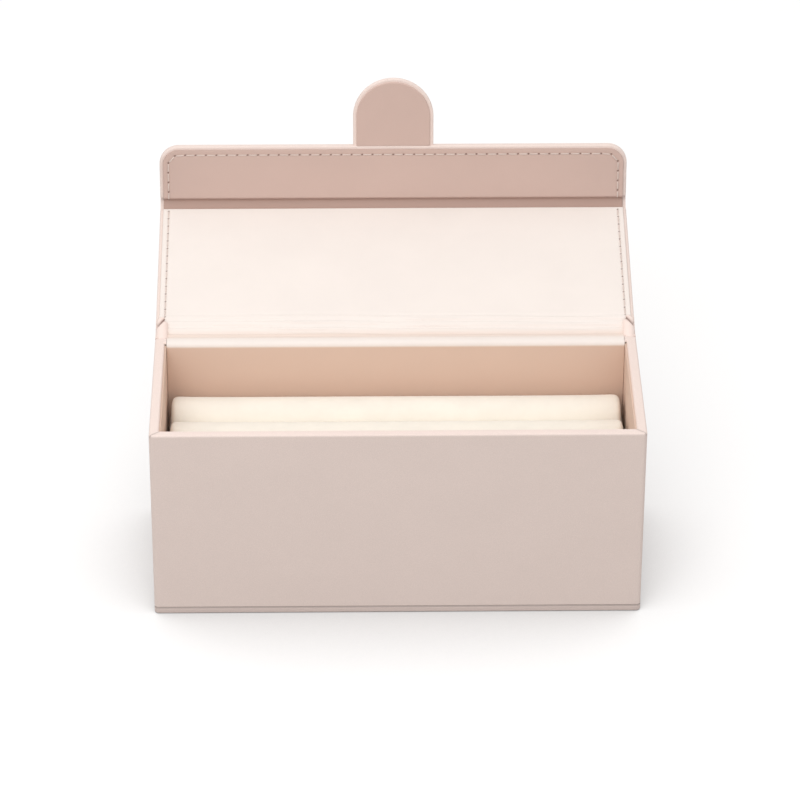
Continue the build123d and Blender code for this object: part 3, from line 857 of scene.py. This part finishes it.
def roll_section(low, high, count):
    """Closed outline of a roll in y and z: flat foot, sides that swell to the shoulder, half-round top."""
    middle, half = (low.y + high.y) / 2, (high.y - low.y) / 2 - SLACK
    foot, shoulder = half - ROLL_TUCK, high.z + ROLL_RISE - half
    rise = np.linspace(0, 1, 20)
    right = np.stack([
        middle + foot + (half - foot) * np.sin(rise * pi / 2), PLATFORM_TOP + (shoulder - PLATFORM_TOP) * rise
    ], axis=1)
    top = arc((middle, shoulder), half, 0, pi, 40)
    left = (right * (-1, 1) + (2 * middle, 0))[::-1]
    under = straight((middle - foot, PLATFORM_TOP), (middle + foot, PLATFORM_TOP))
    line = np.concatenate([under, right, top, left])
    steps = np.linalg.norm(np.diff(line, axis=0, append=line[:1]), axis=1)
    along = np.concatenate([[0], np.cumsum(steps)])
    stations = np.linspace(0, along[-1], count, endpoint=False)
    closed = np.concatenate([line, line[:1]])
    return np.stack([np.interp(stations, along, closed[:, axis]) for axis in (0, 1)], axis=1)


def roll_shell(low, high):
    """Points and faces of a roll: its section carried along x, drawn in near each end.

    At a distance d inside the rounding of radius r, it is drawn in by r - (r^2 - d^2)^(1/2).
    """
    section = roll_section(low, high, ROLL_POINTS)
    tangent = np.roll(section, -1, axis=0) - np.roll(section, 1, axis=0)
    tangent /= np.linalg.norm(tangent, axis=1)[:, None]
    inward = np.stack([-tangent[:, 1], tangent[:, 0]], axis=1)
    half = high.x + ROLL_REACH
    quarter = np.linspace(0, pi / 2, 7)
    end = half - ROLL_END_RADIUS * (1 - np.sin(quarter))
    x = np.concatenate([-end[::-1], np.linspace(-end[0], end[0], ROLL_STATIONS + 2)[1:-1], end])
    drawn = ROLL_END_RADIUS * (1 - np.cos(quarter))
    inset = np.concatenate([drawn[::-1], np.zeros(ROLL_STATIONS), drawn])
    line = section[None] + inward[None] * inset[:, None, None]
    line[..., 1] = np.maximum(line[..., 1], PLATFORM_TOP + 0.1 * MM)
    points = np.concatenate([np.broadcast_to(x[:, None, None], line.shape[:2] + (1,)), line], axis=-1)
    around = np.arange(len(section))
    caps = np.stack([around, (len(x) - 1) * len(section) + around[::-1]])
    return points, [quads(len(x), len(section), around=True)[:, ::-1], caps]


def swell(piece, voxel, cap):
    """Remeshes a padded piece, blows it up as cloth at ten times its size, and caps how far a point moves."""
    mesh = piece.data
    mesh.vertices.foreach_set("co", (vertex_places(mesh) * SIMULATION_SCALE).astype(np.float32).ravel())
    bpy.context.view_layer.objects.active = piece
    remesh = piece.modifiers.new("remesh", "REMESH")
    remesh.mode, remesh.voxel_size, remesh.use_smooth_shade = "VOXEL", voxel * SIMULATION_SCALE, True
    bpy.ops.object.modifier_apply(modifier="remesh")
    before = vertex_places(piece.data)
    held = piece.vertex_groups.new(name="glued_foot")
    foot = before[:, 2] < (PLATFORM_TOP + GLUED_HEIGHT) * SIMULATION_SCALE
    held.add(np.flatnonzero(foot).tolist(), 1.0, "REPLACE")
    cloth = piece.modifiers.new("cloth", "CLOTH")
    cloth.settings.use_pressure = True
    cloth.settings.uniform_pressure_force = SWELL_PRESSURE
    cloth.settings.vertex_group_mass = "glued_foot"
    cloth.settings.effector_weights.gravity = 0.0
    cloth.point_cache.frame_start, cloth.point_cache.frame_end = 1, SWELL_FRAMES
    for moment in range(1, SWELL_FRAMES + 1):
        bpy.context.scene.frame_set(moment)
    posed = piece.evaluated_get(bpy.context.evaluated_depsgraph_get())
    moved = vertex_places(posed.data) - before
    piece.modifiers.remove(cloth)
    piece.vertex_groups.remove(held)
    bpy.context.scene.frame_set(1)
    reach = np.maximum(np.linalg.norm(moved, axis=1), 1e-9)
    limit = cap * SIMULATION_SCALE
    before += moved * (limit * np.tanh(reach / limit) / reach)[:, None]
    piece.data.vertices.foreach_set("co", (before / SIMULATION_SCALE).astype(np.float32).ravel())
    piece.data.update()
    smoother = piece.modifiers.new("smoother", "SUBSURF")
    smoother.levels = smoother.render_levels = 1


for place in ("front", "middle", "rear"):
    low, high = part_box(place + "_roll_velvet")
    roll = mesh_piece(place + "_roll", *roll_shell(low, high), VELVET, "velvet")
    swell(roll, ROLL_VOXEL, SWELL_CAP)
    roll.data.materials.clear()
    roll.data.materials.append(VELVET)
    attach(roll, "box")
    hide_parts(place + "_roll_velvet", place + "_roll_core")

# ---- Gutter leathers: copies of the gutter covers, with their doubled points joined ----
for name, ends, start, end in (
    ("rear_gutter_leather", ("box", "lid"), (TRAY_HIGH.y + 2.0 * MM, 56.0 * MM), LID_START),
    ("front_gutter_leather", ("lid", "flap"), LID_END, flap_leg[0]),
):
    node = NODES[name.replace("leather", "cover")]
    copied = node.data.copy()
    copied.name = name
    piece = add_object(name, copied)
    joined = bmesh.new()
    joined.from_mesh(copied)
    bmesh.ops.remove_doubles(joined, verts=joined.verts, dist=0.002 * MM)
    joined.to_mesh(copied)
    joined.free()
    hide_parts(node.name)
    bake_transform(piece)

# ---- Floor: the camera sees it glow, with a painted contact shadow where the glow drops near the box, and bounced light meets plain grey paper ----
FLOOR_HALF = 4.0
PAPER_GLOW = 0.57
CONTACT_REACH = 0.07
CAMERA_RAY, GLOSSY_RAY, TRANSMISSION_RAY = 0, 3, 6
floor_mesh = bpy.data.meshes.new("studio_floor")
floor_corners = [(x * FLOOR_HALF, y * FLOOR_HALF, 0) for x, y in ((-1, -1), (1, -1), (1, 1), (-1, 1))]
floor_mesh.from_pydata(floor_corners, [], [(0, 1, 2, 3)])
studio_floor = add_object("studio_floor", floor_mesh)

paper = Finish("studio_paper", Base_Color=(0.3, 0.3, 0.3, 1), Roughness=1.0, Specular_IOR_Level=0.0)
# Painted contact shadow: the glow drops where ambient occlusion finds the box close by.
open_sky = paper.node("ShaderNodeAmbientOcclusion", {"samples": 16}, {"Distance": CONTACT_REACH}, output=1)
strength = paper.smooth(open_sky, 0.0, 0.92) * PAPER_GLOW
glow = paper.node("ShaderNodeEmission", {}, {"Color": (1, 1, 1, 1), "Strength": strength})
paper_tone = paper.node("ShaderNodeBsdfDiffuse", {}, {"Color": (0.46, 0.45, 0.445, 1)})
lit = paper.node("ShaderNodeAddShader", {}, {0: glow, 1: paper_tone})
seen = paper.node("ShaderNodeLightPath", output=CAMERA_RAY)
for kind in (GLOSSY_RAY, TRANSMISSION_RAY):
    ray = paper.node("ShaderNodeLightPath", output=kind)
    seen = paper.node("ShaderNodeMath", {"operation": "MAXIMUM"}, {0: seen, 1: ray})
shown = paper.node("ShaderNodeMixShader", {}, {0: seen, 1: Number(paper, paper.shader.outputs[0]), 2: lit})
paper.tree.links.new(shown.socket, paper.tree.nodes["Material Output"].inputs[0])
floor_mesh.materials.append(paper.material)


# ---- Light ----
def softbox(name, place, target, size, watts):
    """Square area lamp at a place, facing a target."""
    lamp = bpy.data.lights.new(name, "AREA")
    lamp.shape, lamp.size, lamp.energy = "SQUARE", size, watts
    aim = Vector(target) - Vector(place)
    turn = aim.to_track_quat("-Z", "Y").to_matrix().to_4x4()
    add_object(name, lamp).matrix_world = Matrix.Translation(place) @ turn


BOX_CENTRE = (0, 0, 40 * MM)
WORLD_STRENGTH = 0.86
softbox("top_softbox", (-0.10, -0.02, 0.42), BOX_CENTRE, 0.45, 0.3)
softbox("front_softbox", (-0.15, -0.60, 0.60), BOX_CENTRE, 0.5, 1.9)
world = bpy.data.worlds.new("studio")
world.use_nodes = True
world.node_tree.nodes["Background"].inputs["Color"].default_value = (1, 1, 1, 1)
world.node_tree.nodes["Background"].inputs["Strength"].default_value = WORLD_STRENGTH
bpy.context.scene.world = world
bpy.context.scene.view_settings.view_transform = "Standard"

# ---- Camera, at the photograph's own viewing angle ----
FOCAL_PIXELS, IMAGE_PIXELS, SENSOR = 4073.1, 800, 36.0
ELEVATION, YAW, ROLL = radians(32.269), radians(0.954), radians(0.209)
DISTANCE = 1.16844
AIM = Vector((0.912 * MM, 0, 54.884 * MM))
forward = Vector((sin(YAW) * cos(ELEVATION), cos(YAW) * cos(ELEVATION), -sin(ELEVATION)))
level = forward.cross(Vector((0, 0, 1))).normalized()
upright = level.cross(forward)
right = level * cos(ROLL) + upright * sin(ROLL)
up = upright * cos(ROLL) - level * sin(ROLL)
lens = bpy.data.cameras.new("photo_camera")
lens.lens, lens.sensor_width = FOCAL_PIXELS / IMAGE_PIXELS * SENSOR, SENSOR
lens.clip_start, lens.clip_end = 0.01, 20.0
camera = add_object("photo_camera", lens)
facing = Matrix((right, up, -forward)).transposed().to_4x4()
camera.matrix_world = Matrix.Translation(AIM - forward * DISTANCE) @ facing
bpy.context.scene.camera = camera
